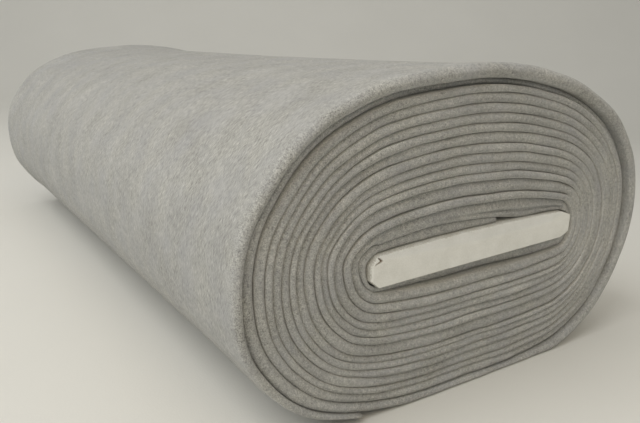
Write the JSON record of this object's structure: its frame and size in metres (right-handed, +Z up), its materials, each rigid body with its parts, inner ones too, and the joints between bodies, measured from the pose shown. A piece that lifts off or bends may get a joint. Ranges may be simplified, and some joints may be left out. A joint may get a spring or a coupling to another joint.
{
  "type": "roll of wool fabric",
  "caption": "Thick light-grey wool cloth, folded double and wound on a flat white carton board, lying on its flatter side with the folded end and the bare board end showing.",
  "frame": {"origin": "on the floor, under the middle of the roll", "axes": "+Y along the roll's axis, away from the folded end with the bare board end; +X across the board; +Z up"},
  "size_m": [0.4258, 0.74, 0.2505],
  "materials": {
    "wool_cloth": "matt felted melange wool, soft and slightly hairy",
    "carton": "matt off-white carton with softened edges"
  },
  "bodies": {
    "root": {"fabric_roll": "wool_cloth", "bolt_board": "carton"}
  },
  "joints": []
}
